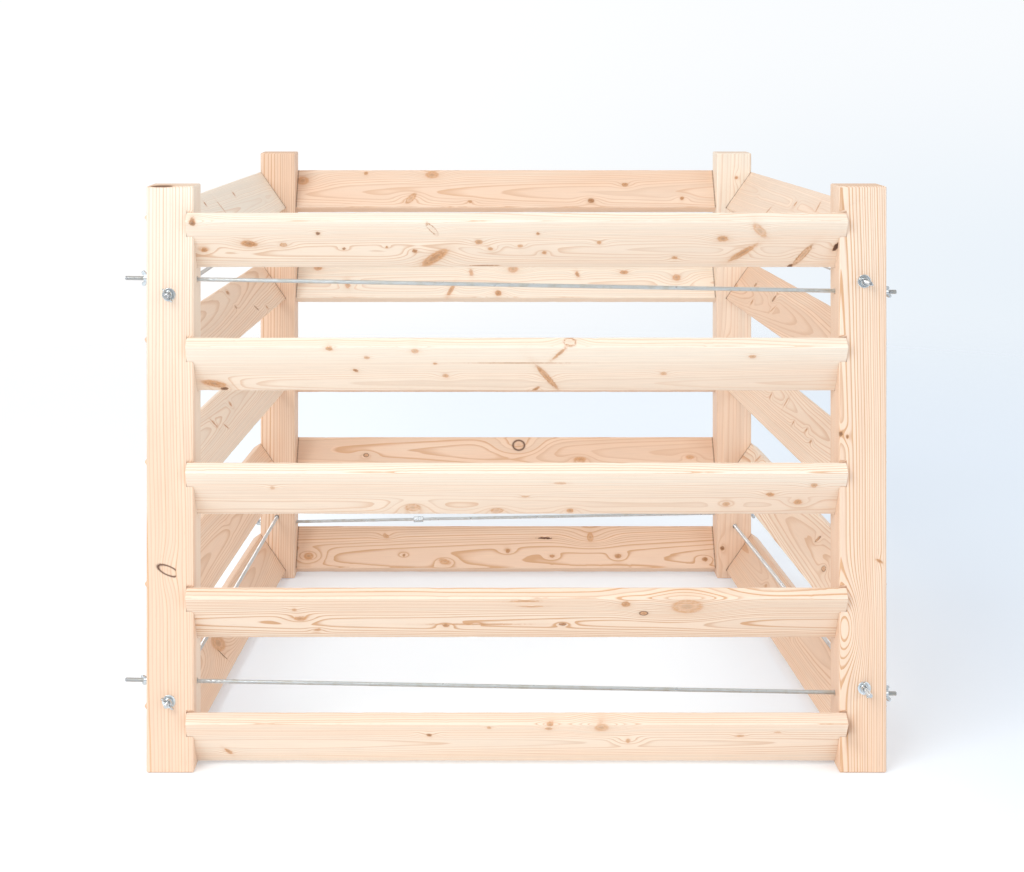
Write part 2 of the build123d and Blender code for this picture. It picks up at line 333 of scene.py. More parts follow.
class HardwareSettings(bpy.types.PropertyGroup):
    """Sizes and colours of the zinc-plated steel hardware."""

    rod_zinc: FloatVectorProperty(
        name="Rod zinc", description="Pale plating of the rods", default=(0.77, 0.80, 0.81), **COLOUR,
    )
    # Painted shade: this darker zinc on the side rods and on the rods' stubs past the wing nuts stands in for
    # shade and dim reflections
    painted_shade_rod_zinc: FloatVectorProperty(
        name="Side rod zinc", description="Greyer plating of the side rods and of all the rods' ends",
        default=(0.58, 0.59, 0.60), **COLOUR,
    )
    washer_zinc: FloatVectorProperty(
        name="Washer zinc", description="Bright plating of the washers", default=(0.74, 0.79, 0.82), **COLOUR,
    )
    nut_zinc: FloatVectorProperty(
        name="Nut zinc", description="Bright plating of the nuts", default=(0.58, 0.62, 0.65), **COLOUR,
    )
    thread_pitch: FloatProperty(
        name="Thread pitch", description="Advance of the thread in one turn", unit="LENGTH", default=0.001,
    )
    thread_depth: FloatProperty(
        name="Thread depth", description="Depth of the thread's groove", unit="LENGTH", default=0.00055,
    )
    thread_sides: IntProperty(
        name="Thread sides", description="Mesh steps in one turn of the thread", default=12, min=6,
    )
    cast_grain: FloatProperty(
        name="Cast grain", description="Mesh step of the cast wing nuts", unit="LENGTH", default=0.00035,
    )
    round_steps: IntProperty(name="Round steps", description="Mesh steps round a washer", default=64, min=12)


class StudioSettings(bpy.types.PropertyGroup):
    """Camera, floor and lights."""

    distance: FloatProperty(
        name="Distance", description="From the camera to the front of the posts", unit="LENGTH", default=2.47,
    )
    height: FloatProperty(name="Height", description="Camera above the ground", unit="LENGTH", default=0.956)
    offset: FloatProperty(
        name="Offset", description="Camera to the right of the middle", unit="LENGTH", default=-0.052,
    )
    lens: FloatProperty(name="Lens", description="Focal length in millimetres", default=64.3)
    shift_x: FloatProperty(name="Shift across", description="Share of the picture's width", default=0.0332)
    shift_y: FloatProperty(name="Shift up", description="Share of the picture's width", default=-0.3623)
    floor: FloatVectorProperty(
        name="Floor", description="Pale studio floor", default=(0.835, 0.90, 0.945), **COLOUR,
    )
    # Painted light: the floor's own glow stands in for light from below
    painted_floor_glow: FloatVectorProperty(
        name="Floor glow", description="Light from under the floor", default=(0.20, 0.19, 0.19), **COLOUR,
    )
    # Painted shade: a weaker, bluish glow on the right, behind and at the foot of the slats
    painted_shade_glow: FloatVectorProperty(
        name="Cool glow", description="What is left of that light on the right and behind",
        default=(0.01, 0.025, 0.07), **COLOUR,
    )
    floor_reach: FloatProperty(
        name="Floor reach", description="Where the floor has faded out", unit="LENGTH", default=4.5, min=1,
    )
    bright_wall: FloatVectorProperty(
        name="Bright wall", description="Light from the left", default=(1.0, 1.0, 1.0), **COLOUR,
    )
    cool_wall: FloatVectorProperty(
        name="Cool wall", description="Light from the right", default=(0.82, 0.882, 0.943), **COLOUR,
    )
    room: FloatVectorProperty(
        name="Room", description="Dim room behind the camera", default=(0.34, 0.36, 0.38), **COLOUR,
    )
    wall_strength: FloatProperty(
        name="Wall strength", description="Brightness of the white walls", default=1.02,
    )
    wall_light: FloatProperty(
        name="Wall light", description="Share of that brightness that lights the bin", default=0.88,
    )
    key_power: FloatProperty(
        name="Key light", description="Soft light from the front left", unit="POWER", default=77,
    )
    fill_power: FloatProperty(
        name="Fill light", description="Soft light from the front right", unit="POWER", default=22,
    )


# Shader nodes

# What a chain of knots says where no knot is near
KNOT_FREE = {"Nearest": 99.0, "Shade": 0.0, "Rim": 0.0, "Shift": 0.0}
# What the group of a finish gives to its material
FINISH = {"Color": "NodeSocketColor", "Roughness": "NodeSocketFloat", "Height": "NodeSocketFloat"}
LARCH_COLOURS = ("Earlywood", "Latewood", "Heartwood", "Knot", "Bark")
GREY = (0.5, 0.5, 0.5, 1.0)
# Waves to the millimetre of each pattern, along the grain, across it and through the board
SWAY_WAVES = (0.0022, 0.004, 0.004)
RIPPLE_WAVES = (0.005, 0.06, 0.06)
FIBRE_WAVES = (0.02, 0.9, 0.9)
BLOTCH_WAVES = (0.004, 0.02, 0.02)
DUCT_WAVES = (0.09, 1.1, 1.1)
FRAY_WAVES = (0.25, 0.35, 0.35)
SPECK_WAVES = (3.0, 3.0, 3.0)


class Wiring:
    """Adds nodes to one tree and joins their sockets, so that a shader reads as a list of steps."""

    def __init__(self, tree):
        self.tree = tree

    def feed(self, socket, value):
        """Links a socket to another one, or sets its own value."""
        if isinstance(value, bpy.types.NodeSocket):
            self.tree.links.new(value, socket)
        else:
            socket.default_value = value

    def node(self, kind, inputs, **settings):
        made = self.tree.nodes.new(kind)
        for name, value in settings.items():
            setattr(made, name, value)
        for name, value in inputs.items():
            self.feed(made.inputs[name], value)
        return made

    def group(self, tree, inputs):
        return self.node("ShaderNodeGroup", inputs, node_tree=tree).outputs

    def math(self, operation, *values):
        return self.node("ShaderNodeMath", dict(enumerate(values)), operation=operation).outputs[0]

    def times(self, first, *others):
        """The product of two or more values."""
        for value in others:
            first = self.math("MULTIPLY", first, value)
        return first

    def less(self, first, second):
        """The first value without the second."""
        return self.math("SUBTRACT", first, second)

    def line(self, value, slope, start):
        """A straight line: start, plus slope for each unit of the value."""
        return self.math("MULTIPLY_ADD", value, slope, start)

    def smooth(self, value, low, high):
        """Rises smoothly from 0 at low to 1 at high."""
        reach = {"Value": value, "From Min": low, "From Max": high}
        return self.node("ShaderNodeMapRange", reach, interpolation_type="SMOOTHSTEP").outputs[0]

    def fall(self, value, low, high):
        """Falls smoothly from 1 at low to 0 at high."""
        return self.less(1.0, self.smooth(value, low, high))

    def vector(self, operation, *values):
        made = self.node("ShaderNodeVectorMath", dict(enumerate(values)), operation=operation)
        return made.outputs["Value" if operation in ("DOT_PRODUCT", "LENGTH") else "Vector"]

    def parts(self, vector):
        return self.node("ShaderNodeSeparateXYZ", {"Vector": vector}).outputs

    def joined(self, x, y, z=0.0):
        return self.node("ShaderNodeCombineXYZ", {"X": x, "Y": y, "Z": z}).outputs[0]

    def noise(self, place, waves=None, detail=2.0, output=0):
        """Noise with so many waves to the unit, or one; output 0 is its value, 1 its colour."""
        if waves:
            place = self.vector("MULTIPLY", place, waves)
        inputs = {"Vector": place, "Scale": 1.0, "Detail": detail}
        return self.node("ShaderNodeTexNoise", inputs).outputs[output]

    def mix(self, factor, first, second, blend="MIX"):
        made = self.node("ShaderNodeMix", {}, data_type="RGBA", blend_type=blend)
        colours = [s for s in made.inputs if s.type == "RGBA"]
        self.feed(made.inputs[0], factor)
        self.feed(colours[0], first)
        self.feed(colours[1], second)
        return next(s for s in made.outputs if s.type == "RGBA")


def new_group(name, inputs, outputs):
    """An empty shader group with named sockets. Inputs give their defaults, which also say their kind."""
    tree = bpy.data.node_groups.new(name, "ShaderNodeTree")
    kinds = {1: "NodeSocketFloat", 3: "NodeSocketVector", 4: "NodeSocketColor"}
    for label, default in inputs.items():
        kind = kinds[len(default) if isinstance(default, tuple) else 1]
        tree.interface.new_socket(label, in_out="INPUT", socket_type=kind).default_value = default
    for label, kind in outputs.items():
        tree.interface.new_socket(label, in_out="OUTPUT", socket_type=kind)
    ends = tree.nodes.new("NodeGroupInput").outputs, tree.nodes.new("NodeGroupOutput").inputs
    return tree, Wiring(tree), *ends


def shared_group(name, build):
    """The group of that name, built the first time it is needed."""
    return bpy.data.node_groups.get(name) or build(name)


def new_material(name):
    """A material with its wiring, the inputs of its surface and its coordinates."""
    material = bpy.data.materials.new(name)
    material.use_nodes = True
    nodes = material.node_tree.nodes
    coordinates = nodes.new("ShaderNodeTexCoord").outputs
    return material, Wiring(material.node_tree), nodes["Principled BSDF"].inputs, coordinates


def finish_surface(w, surface, finish, strength, depth):
    """Gives a surface the colour, gloss and relief of a finish."""
    relief = w.node("ShaderNodeBump", {"Height": finish["Height"], "Strength": strength, "Distance": depth})
    w.feed(surface["Base Color"], finish["Color"])
    w.feed(surface["Roughness"], finish["Roughness"])
    w.feed(surface["Normal"], relief.outputs[0])


def build_knot_group(name):
    """One knot in a chain of knots: how near it is, how dark, and how far it pushes the ring lines aside."""
    tree, w, given, out = new_group(
        name,
        {
            "Position": (0.0, 0.0, 0.0), "Centre": (0.0, 0.0, 0.0), "Along": (1.0, 0.0, 0.0),
            "Across": (0.0, 1.0, 0.0), "Through": (0.0, 0.0, 1.0), "Stretch": (0.1, 0.1, 0.1), "Bend": 4.0,
            "Own Shade": 0.5, "Own Rim": 0.5, "Own Fray": 1.0, "Fray": 0.5, **KNOT_FREE,
        },
        dict.fromkeys(KNOT_FREE, "NodeSocketFloat"),
    )
    away = w.vector("SUBTRACT", given["Position"], given["Centre"])
    squared = 0.0
    for label in ("Along", "Across", "Through"):
        way = w.vector("DOT_PRODUCT", away, given[label])
        squared = w.line(way, way, squared)
    uneven = w.times(w.less(given["Fray"], 0.5), given["Own Fray"])
    near = w.math("ADD", w.math("SQRT", squared), uneven)
    nearer = w.math("LESS_THAN", near, given["Nearest"])
    w.feed(out["Nearest"], w.math("MINIMUM", near, given["Nearest"]))
    for label in ("Shade", "Rim"):
        change = w.less(given[f"Own {label}"], given[label])
        w.feed(out[label], w.line(nearer, change, given[label]))
    spread = w.vector("MULTIPLY", away, given["Stretch"])
    push = w.math("EXPONENT", w.times(w.vector("DOT_PRODUCT", spread, spread), -1.0))
    w.feed(out["Shift"], w.line(push, given["Bend"], given["Shift"]))
    return tree


def build_rings_group(name):
    """Growth rings round a leaning pith, in millimetres, with the length of the grain along x."""
    tree, w, given, out = new_group(
        name,
        {
            "Position": (0.0, 0.0, 0.0), "Pith": (0.0, 0.0, -40.0), "Lean": (0.0, 0.0, 0.03),
            "Ring Width": 3.0, "Shift": 0.0, "Seed": 0.0,
        },
        dict.fromkeys(("Latewood", "Tone", "Radius"), "NodeSocketFloat"),
    )
    place, seed = given["Position"], given["Seed"]
    moved = w.vector("ADD", place, w.joined(seed, seed))
    lean = {0: given["Lean"], "Scale": w.parts(place)["X"]}
    leaned = w.node("ShaderNodeVectorMath", lean, operation="SCALE").outputs[0]
    off_pith = w.vector("SUBTRACT", place, w.vector("ADD", given["Pith"], leaned))

    # The pith sways along the board, and the rings ripple, by millimetres
    sway = w.vector("SUBTRACT", w.noise(moved, SWAY_WAVES, 1.0, 1), (0.5, 0.5, 0.5))
    sway = w.vector("MULTIPLY", sway, (0.0, 10.0, 6.0))
    section = w.vector("MULTIPLY", w.vector("ADD", off_pith, sway), (0.0, 1.0, 1.0))
    radius = w.math("ADD", w.vector("LENGTH", section), given["Shift"])
    radius = w.line(w.less(w.noise(moved, RIPPLE_WAVES), 0.5), 1.4, radius)

    # Years differ in width and tone, and each ends in a line of latewood
    count = w.math("DIVIDE", radius, given["Ring Width"])
    count = w.line(w.noise(w.joined(w.times(count, 0.4), seed)), 1.6, count)
    year = w.math("ADD", w.math("FLOOR", count), seed)
    season = w.math("FRACT", count)
    tone = w.node("ShaderNodeTexWhiteNoise", {"W": year}, noise_dimensions="1D").outputs[0]
    late = w.times(w.smooth(season, 0.55, 0.94), w.fall(season, 0.95, 1.0))
    w.feed(out["Latewood"], w.times(late, w.line(tone, 0.7, 0.3)))
    w.feed(out["Tone"], tone)
    w.feed(out["Radius"], radius)
    return tree


def clear_wood(w, given, fibre, along):
    """Colour of wood without knots: pale sapwood, pink heart, ring lines, fibres and resin ducts."""
    heart_edge = 14.0
    inner = w.less(given["Heart"], heart_edge)
    outer = w.math("ADD", given["Heart"], heart_edge)
    in_heart = w.line(w.smooth(given["Radius"], inner, outer), -0.75, 1.0)
    blotch = w.line(w.noise(given["Position"], BLOTCH_WAVES), 1.1, 0.45)
    # Heartwood fades along the piece; on the back right post this also paints shade on its lower part
    left_over = w.math("MAXIMUM", w.line(along, w.times(given["Fade"], -1.0), 1.0), 0.0)
    warm = w.times(in_heart, given["Warmth"], blotch, left_over)
    colour = w.mix(warm, given["Earlywood Colour"], given["Heartwood Colour"])
    colour = w.mix(w.times(given["Latewood"], given["Contrast"]), colour, given["Latewood Colour"])
    bright = w.line(fibre, 0.20, w.line(given["Tone"], 0.07, 0.865))
    grain = w.node("ShaderNodeCombineColor", {0: bright, 1: bright, 2: bright}).outputs[0]
    colour = w.mix(1.0, colour, grain, "MULTIPLY")
    duct = w.smooth(w.noise(given["Position"], DUCT_WAVES, 1.0), 0.70, 0.78)
    return w.mix(w.times(duct, 0.30), colour, given["Latewood Colour"])


def with_knots(w, given, colour):
    """Knots in clear wood: a warm halo, a ringed orange face with a dark heart, and a broken outline."""
    near, shade, rim, fray = (given[label] for label in ("Nearest", "Shade", "Rim", "Fray"))
    sound, bark = given["Knot Colour"], given["Bark Colour"]
    past_edge = w.math("MAXIMUM", w.less(near, 0.7), 0.0)
    halo = w.math("EXPONENT", w.times(past_edge, -1.6))
    colour = w.mix(w.times(halo, w.smooth(shade, 0.0, 0.5), 0.55), colour, given["Latewood Colour"])

    dead = w.times(shade, shade, shade)
    ring = w.smooth(w.math("SINE", w.line(near, 17.0, w.times(fray, 5.0))), 0.0, 1.0)
    face = w.mix(dead, w.mix(w.times(ring, 0.25), sound, bark), bark)
    mottle = w.math("MAXIMUM", w.line(w.smooth(fray, 0.30, 0.65), 0.45, 0.55), dead)
    inside = w.fall(near, 0.72, 1.08)
    colour = w.mix(w.times(inside, mottle, w.smooth(shade, 0.0, 0.65)), colour, face)
    colour = w.mix(w.times(w.fall(near, 0.05, 0.5), shade, 0.55), colour, bark)

    from_rim = w.math("DIVIDE", w.less(near, 0.9), 0.16)
    on_rim = w.math("EXPONENT", w.times(from_rim, from_rim, -1.0))
    broken = w.math("MAXIMUM", w.smooth(fray, 0.30, 0.60), w.math("POWER", rim, 3.0))
    outline = w.mix(w.smooth(rim, 0.2, 1.0), sound, bark)
    return w.mix(w.times(on_rim, broken, w.smooth(rim, 0.0, 0.6)), colour, outline)


def build_face_group(name):
    """Colour, gloss and relief of a planed larch face from its rings and knots, with painted shade at its
    housings.
    """
    tree, w, given, out = new_group(
        name,
        {
            "Position": (0.0, 0.0, 0.0), "Normal": (0.0, 0.0, 1.0), "Latewood": 0.0, "Tone": 0.5,
            "Radius": 50.0, "Nearest": 99.0, "Shade": 0.0, "Rim": 0.0, "Fray": 0.5, "Contrast": 0.6,
            "Warmth": 0.4, "Heart": 900.0, "Fade": 0.0, "Housing": NO_HOUSING,
            **{f"{label} Colour": GREY for label in LARCH_COLOURS},
        },
        FINISH,
    )
    fray = given["Fray"]
    fibre = w.noise(given["Position"], FIBRE_WAVES, 3.0)
    along = w.parts(given["Position"])["X"]
    colour = with_knots(w, given, clear_wood(w, given, fibre, along))

    # Sawn ends drink in more light than the planed faces
    length, _, outward = w.parts(given["Normal"])
    end = w.smooth(w.math("ABSOLUTE", length), 0.6, 0.9)
    colour = w.mix(w.times(end, 0.35), colour, given["Latewood Colour"])

    # Painted shade: a dark line where the inner face enters its housing, standing in for the shadow in the
    # joint
    from_gap = w.math("ABSOLUTE", w.less(w.math("ABSOLUTE", along), given["Housing"]))
    painted_housing_shade = w.times(w.fall(from_gap, 0.5, 2.2), w.smooth(outward, -0.4, -0.8))
    colour = w.mix(w.times(painted_housing_shade, w.line(fray, 0.5, 0.35)), colour, given["Bark Colour"])

    gloss = w.line(given["Latewood"], -0.10, w.line(fibre, 0.14, 0.50))
    w.feed(out["Color"], colour)
    w.feed(out["Roughness"], w.line(end, 0.2, gloss))
    w.feed(out["Height"], w.line(end, w.times(fray, 2.0), fibre))
    return tree


def add_knot(w, knot, place, fray, chain):
    """Adds one knot to a chain of knots. Large and loose knots have the smoothest outlines."""
    turn = math.radians(knot.turn)
    along = Vector((math.cos(turn), math.sin(turn), 0))
    across = Vector((-math.sin(turn), math.cos(turn), 0))
    reach = knot.half_height
    made = w.group(shared_group("Larch Knot", build_knot_group), {
        "Position": place, "Centre": (knot.along, knot.across, knot.depth), "Along": along / knot.half_length,
        "Across": across / reach, "Through": (0.0, 0.0, 1 / max(2 * reach, 6)),
        "Stretch": (0.22 / reach, 0.5 / reach, 0.3 / reach), "Bend": knot.bend * reach,
        "Own Shade": knot.dark, "Own Rim": knot.rim, "Fray": fray,
        "Own Fray": min(1.8, 6 / reach) * (1 - 0.85 * knot.rim ** 3), **chain,
    })
    return {label: made[label] for label in chain}


def larch_material(name, timber, colours, housing=NO_HOUSING):
    """Planed larch for one piece, with its grain along the piece's own x axis.

    Housing is how far from its middle the piece enters the posts, in millimetres, where a line of painted
    shade darkens its inner face.
    """
    material, w, surface, coordinates = new_material(name)
    place = w.vector("MULTIPLY", coordinates["Object"], TO_MM)
    fray = w.noise(place, FRAY_WAVES, 3.0)
    chain = KNOT_FREE
    for knot in timber.knots:
        chain = add_knot(w, knot, place, fray, chain)
    rings = w.group(shared_group("Larch Rings", build_rings_group), {
        "Position": place, "Pith": (0.0, *timber.pith), "Lean": (0.0, *timber.lean),
        "Ring Width": timber.ring, "Shift": chain["Shift"], "Seed": random.Random(name).uniform(0, 400),
    })
    face = w.group(shared_group("Larch Face", build_face_group), {
        "Position": place, "Normal": coordinates["Normal"], "Fray": fray, "Housing": housing,
        **{label: rings[label] for label in ("Latewood", "Tone", "Radius")},
        **{label: chain[label] for label in ("Nearest", "Shade", "Rim")},
        **{label: getattr(timber, label.lower()) for label in ("Contrast", "Warmth", "Heart", "Fade")},
        **{f"{label} Colour": (*getattr(colours, label.lower()), 1.0) for label in LARCH_COLOURS},
    })
    finish_surface(w, surface, face, 0.35, 0.2 * MM)
    return material


def build_zinc_group(name):
    """Cloudy bright plating with handling marks, and painted shade past the ends of a span."""
    stain, mark = (0.62, 0.60, 0.52, 1.0), (0.30, 0.32, 0.35, 1.0)
    tree, w, given, out = new_group(
        name,
        {
            "Position": (0.0, 0.0, 0.0), "Zinc Colour": GREY, "Painted Shade Colour": GREY, "Span": 0.0,
            "Roughness": 0.3, "Cloud Size": 6.0,
        },
        FINISH,
    )
    place, size = given["Position"], given["Cloud Size"]
    clouds = w.noise(w.vector("DIVIDE", place, w.joined(size, size, size)), detail=3.0)
    specks = w.noise(place, SPECK_WAVES)
    # Painted shade: past the span's ends the zinc turns to the end colour
    half_span = w.times(given["Span"], 0.5)
    past_end = w.less(w.math("ABSOLUTE", w.less(w.parts(place)["Z"], half_span)), half_span)
    zinc = w.mix(w.smooth(past_end, -2.0, 0.0), given["Zinc Colour"], given["Painted Shade Colour"])
    colour = w.mix(w.smooth(clouds, 0.45, 0.75), zinc, w.mix(0.5, zinc, stain))
    colour = w.mix(w.times(w.smooth(specks, 0.62, 0.72), 0.4), colour, mark)
    w.feed(out["Color"], colour)
    w.feed(out["Roughness"], w.line(w.less(clouds, 0.5), 0.3, given["Roughness"]))
    w.feed(out["Height"], specks)
    return tree


def zinc_material(name, colour, roughness, cloud_size, painted_shade_colour=None, span=0):
    """Bright zinc plating of one kind of hardware; sizes are in millimetres.

    Along the piece's own z axis, what lies outside the span takes the end colour, which is painted shade on
    the rods' stubs.
    """
    material, w, surface, coordinates = new_material(name)
    surface["Metallic"].default_value = 1.0
    plating = w.group(shared_group("Zinc Plating", build_zinc_group), {
        "Position": w.vector("MULTIPLY", coordinates["Object"], TO_MM), "Zinc Colour": (*colour, 1.0),
        "Painted Shade Colour": (*(painted_shade_colour or colour), 1.0), "Span": span, "Roughness": roughness,
        "Cloud Size": cloud_size,
    })
    finish_surface(w, surface, plating, 0.2, 0.05 * MM)
    return material


# Places and meshes


def node_points(node):
    """Corners of a CAD node's mesh."""
    return np.array([v.co for v in frame["nodes"][node].data.vertices])


def frame_at(origin, axes):
    """The matrix of a place with three axes of its own."""
    return Matrix.Translation(origin) @ Matrix(axes).transposed().to_4x4()


def points_in(place, points):
    """Points of the model along a place's own axes."""
    return (np.c_[points, np.ones(len(points))] @ np.array(place.inverted()).T)[:, :3]


def off_axis(points):
    """How far points lie from the z axis."""
    return np.hypot(points[:, 0], points[:, 1])


def measured(node, axes):
    """Where a CAD node lies along three axes of its own: the matrix of its middle, and its size."""
    turned = node_points(node) @ np.array(axes).T
    low, high = turned.min(0), turned.max(0)
    middle = Vector((low + high) / 2 @ np.array(axes))
    return frame_at(middle, axes), Vector(high - low)


def square_to(direction):
    """The level axis that a direction is nearest to; the posts' faces all look along such an axis."""
    axes = (Vector((1, 0, 0)), Vector((0, 1, 0)), Vector((-1, 0, 0)), Vector((0, -1, 0)))
    return max(axes, key=direction.dot)


def slat_slope(node):
    """Up the slope of a slat, as it lifts out of its housings, and along it to the right from outside."""
    slope = Vector(JOINTS[f"{node}_lift"]["axis"])
    along = UP.cross(Vector((slope.x, slope.y, 0))).normalized()
    return slope, along


def nut_hinges(start=""):
    """The joints on which the wing nuts turn, whose names start with some words."""
    return [j for name, j in JOINTS.items() if name.startswith(start) and name.endswith("_turn")]


def rod_line(side, level):
    """The upper of one rod's two hinges, three axes with z down the rod, and the way between the hinges."""
    places = [Vector(hinge["pos_m"]) for hinge in nut_hinges(f"{side}_{level}_")]
    high, low = sorted(places, key=lambda place: -place.z)
    axis = (low - high).normalized()
    inward = UP.cross(axis).normalized()
    return high, (inward, axis.cross(inward), axis), (low - high).length


def finish_mesh(mesh, sharp_degrees):
    """Smooth shading with sharp edges where faces meet at more than an angle."""
    mesh.shade_smooth()
    mesh.set_sharp_from_angle(angle=math.radians(sharp_degrees))


def mesh_of(name, shape):
    """A new mesh of a shape that is then let go."""
    mesh = bpy.data.meshes.new(name)
    shape.to_mesh(mesh)
    shape.free()
    return mesh


def mesh_from(name, points, faces, sharp_degrees):
    mesh = bpy.data.meshes.new(name)
    mesh.from_pydata(points, [], faces)
    finish_mesh(mesh, sharp_degrees)
    return mesh


def place_piece(name, mesh, place, material, body, slot, *nodes):
    """Puts a finished mesh into the scene in the place of CAD nodes, on the body that carries it."""
    piece = bpy.data.objects.new(name, mesh)
    bpy.context.scene.collection.objects.link(piece)
    piece.matrix_world = place
    if not mesh.materials:
        mesh.materials.append(None)
    piece.material_slots[0].link = "OBJECT"
    piece.material_slots[0].material = material
    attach(piece, body)
    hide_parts(*nodes)
    return piece


def copied_mesh(node, place):
    """A CAD node's mesh in the axes of its own place, with its split edges joined and flat faces whole."""
    shape = bmesh.new()
    shape.from_mesh(frame["nodes"][node].data)
    shape.transform(place.inverted())
    weld, flat = 0.001 * MM, math.radians(0.2)
    bmesh.ops.remove_doubles(shape, verts=shape.verts, dist=weld)
    bmesh.ops.dissolve_limit(shape, angle_limit=flat, verts=shape.verts, edges=shape.edges)
    return mesh_of(node, shape)


def rounded_section(width, thickness, radius):
    """Points round a board's section, each with its outward direction and whether it is on a rounded edge."""
    corner_steps, face_steps, edge_steps = 5, 8, 2
    ring = []
    for quarter, (across, through) in enumerate(((1, 1), (-1, 1), (-1, -1), (1, -1))):
        middle = Vector((across * (width / 2 - radius), through * (thickness / 2 - radius)))
        for step in range(corner_steps + 1):
            angle = math.pi / 2 * (quarter + step / corner_steps)
            outward = Vector((math.cos(angle), math.sin(angle)))
            ring.append((middle + radius * outward, outward, True))
        flat_steps = face_steps if quarter % 2 == 0 else edge_steps
        last, outward, _ = ring[-1]
        run = 2 * ((width / 2 if quarter % 2 == 0 else thickness / 2) - radius)
        way = Vector((-outward.y, outward.x))
        for step in range(1, flat_steps):
            ring.append((last + way * run * step / flat_steps, outward, False))
    return ring


def board_mesh(name, size, settings):
    """A sawn board along x with rounded, unevenly worn edges and softened ends."""
    length, width, thickness = size
    ring = rounded_section(width, thickness, settings.edge_radius)
    seed = random.Random(name).uniform(0, 100)
    inner = length / 2 - settings.end_chamfer
    long_dents, short_dents = 25, 110
    stations = [-length / 2, *np.linspace(-inner, inner, round(length / settings.mesh_step)), length / 2]
    points = []
    for x in stations:
        at_end = settings.end_chamfer if abs(x) > inner else 0
        for corner, (point, outward, on_edge) in enumerate(ring):
            wear = 0
            if on_edge:
                quarter = corner * 4 // len(ring)
                dent = noise.noise((x * long_dents, quarter * 7.0, seed))
                dent += 0.6 * noise.noise((x * short_dents, quarter * 9.0, seed))
                wear = settings.edge_wear * max(0, dent)
            points.append((x, *(point - (at_end + wear) * outward)))
    count = len(ring)
    faces = [
        (s * count + k, s * count + (k + 1) % count, (s + 1) * count + (k + 1) % count, (s + 1) * count + k)
        for s in range(len(stations) - 1)
        for k in range(count)
    ]
    faces.append(tuple(reversed(range(count))))
    faces.append(tuple(range(len(points) - count, len(points))))
    return mesh_from(name, points, faces, sharp_degrees=40)


def threaded_mesh(name, start, stop, radius, settings):
    """A threaded rod along z with a right-hand groove, ended by chamfered flat faces."""
    sides, pitch = settings.thread_sides, settings.thread_pitch
    core = radius - settings.thread_depth
    profile = ((0.0, core), (0.15, core), (0.45, radius), (0.70, radius))
    chamfer = 1.5 * settings.thread_depth
    turns = math.ceil((stop - start) / pitch) + 3
    step = np.arange(turns * sides)
    angle = 2 * math.pi * (step % sides) / sides
    share = np.array([p[0] for p in profile])
    height = start + pitch * (step[:, None] / sides + share[None, :] - 2)
    reach = np.broadcast_to(np.array([p[1] for p in profile]), height.shape)
    height = np.clip(height, start, stop)
    to_end = np.minimum(height - start, stop - height)
    reach = np.minimum(reach, radius - chamfer + to_end)
    x, y = reach * np.cos(angle)[:, None], reach * np.sin(angle)[:, None]
    points = np.stack((x, y, height), axis=2).reshape(-1, 3)
    width = len(profile)
    count = len(step)
    row, column = np.meshgrid(np.arange(count - sides - 1), np.arange(width), indexing="ij")
    above = np.where(column + 1 < width, row * width + column + 1, (row + sides) * width)
    beside = np.where(column + 1 < width, (row + 1) * width + column + 1, (row + 1 + sides) * width)
    faces = np.stack((row * width + column, (row + 1) * width + column, beside, above), axis=2).reshape(-1, 4)
    mesh = bpy.data.meshes.new(name)
    mesh.from_pydata(points.tolist(), [], faces.tolist())
    shape = bmesh.new()
    shape.from_mesh(mesh)
    weld = 0.002 * MM
    bmesh.ops.remove_doubles(shape, verts=shape.verts, dist=weld)
    bmesh.ops.dissolve_degenerate(shape, edges=shape.edges, dist=weld)
    bmesh.ops.holes_fill(shape, edges=[e for e in shape.edges if e.is_boundary], sides=0)
    bmesh.ops.recalc_face_normals(shape, faces=shape.faces)
    shape.to_mesh(mesh)
    shape.free()
    finish_mesh(mesh, sharp_degrees=30)
    return mesh


def turned_mesh(name, outline, steps):
    """A ring turned round z from a closed outline of radius and height."""
    count = len(outline)
    points, faces = [], []
    for step in range(steps):
        angle = 2 * math.pi * step / steps
        points += [(radius * math.cos(angle), radius * math.sin(angle), height) for radius, height in outline]
        here, beyond = step * count, (step + 1) % steps * count
        for k in range(count):
            after = (k + 1) % count
            faces.append((here + k, beyond + k, beyond + after, here + after))
    return mesh_from(name, points, faces, sharp_degrees=50)


def modified_mesh(name, mesh, *modifiers):
    """The mesh that a list of modifiers, each with its settings, makes of another mesh."""
    carrier = bpy.data.objects.new(name, mesh)
    bpy.context.scene.collection.objects.link(carrier)
    for kind, settings in modifiers:
        modifier = carrier.modifiers.new(kind.title(), kind)
        for key, value in settings.items():
            setattr(modifier, key, value)
    shaped = bpy.data.meshes.new_from_object(carrier.evaluated_get(bpy.context.evaluated_depsgraph_get()))
    shaped.name = name
    bpy.data.objects.remove(carrier)
    return shaped


# Operators, one for each kind of piece


class BIN_OT_posts(bpy.types.Operator):
    """Dresses the four corner posts in larch"""

    bl_idname = "compost_bin.posts"
    bl_label = "Posts"

    def execute(self, context):
        across = Vector((-1, 0, 0))
        for corner in CORNERS:
            node = f"{corner}_post"
            place, _ = measured(node, (UP, across, UP.cross(across)))
            mesh = copied_mesh(node, place)
            finish_mesh(mesh, sharp_degrees=30)
            label = f"{corner.replace('_', ' ').capitalize()} Post Larch"
            material = larch_material(label, POST_TIMBER[node], context.scene.bin_timber)
            place_piece(f"{node}_timber", mesh, place, material, "frame", "post_wood", node)
        return {"FINISHED"}


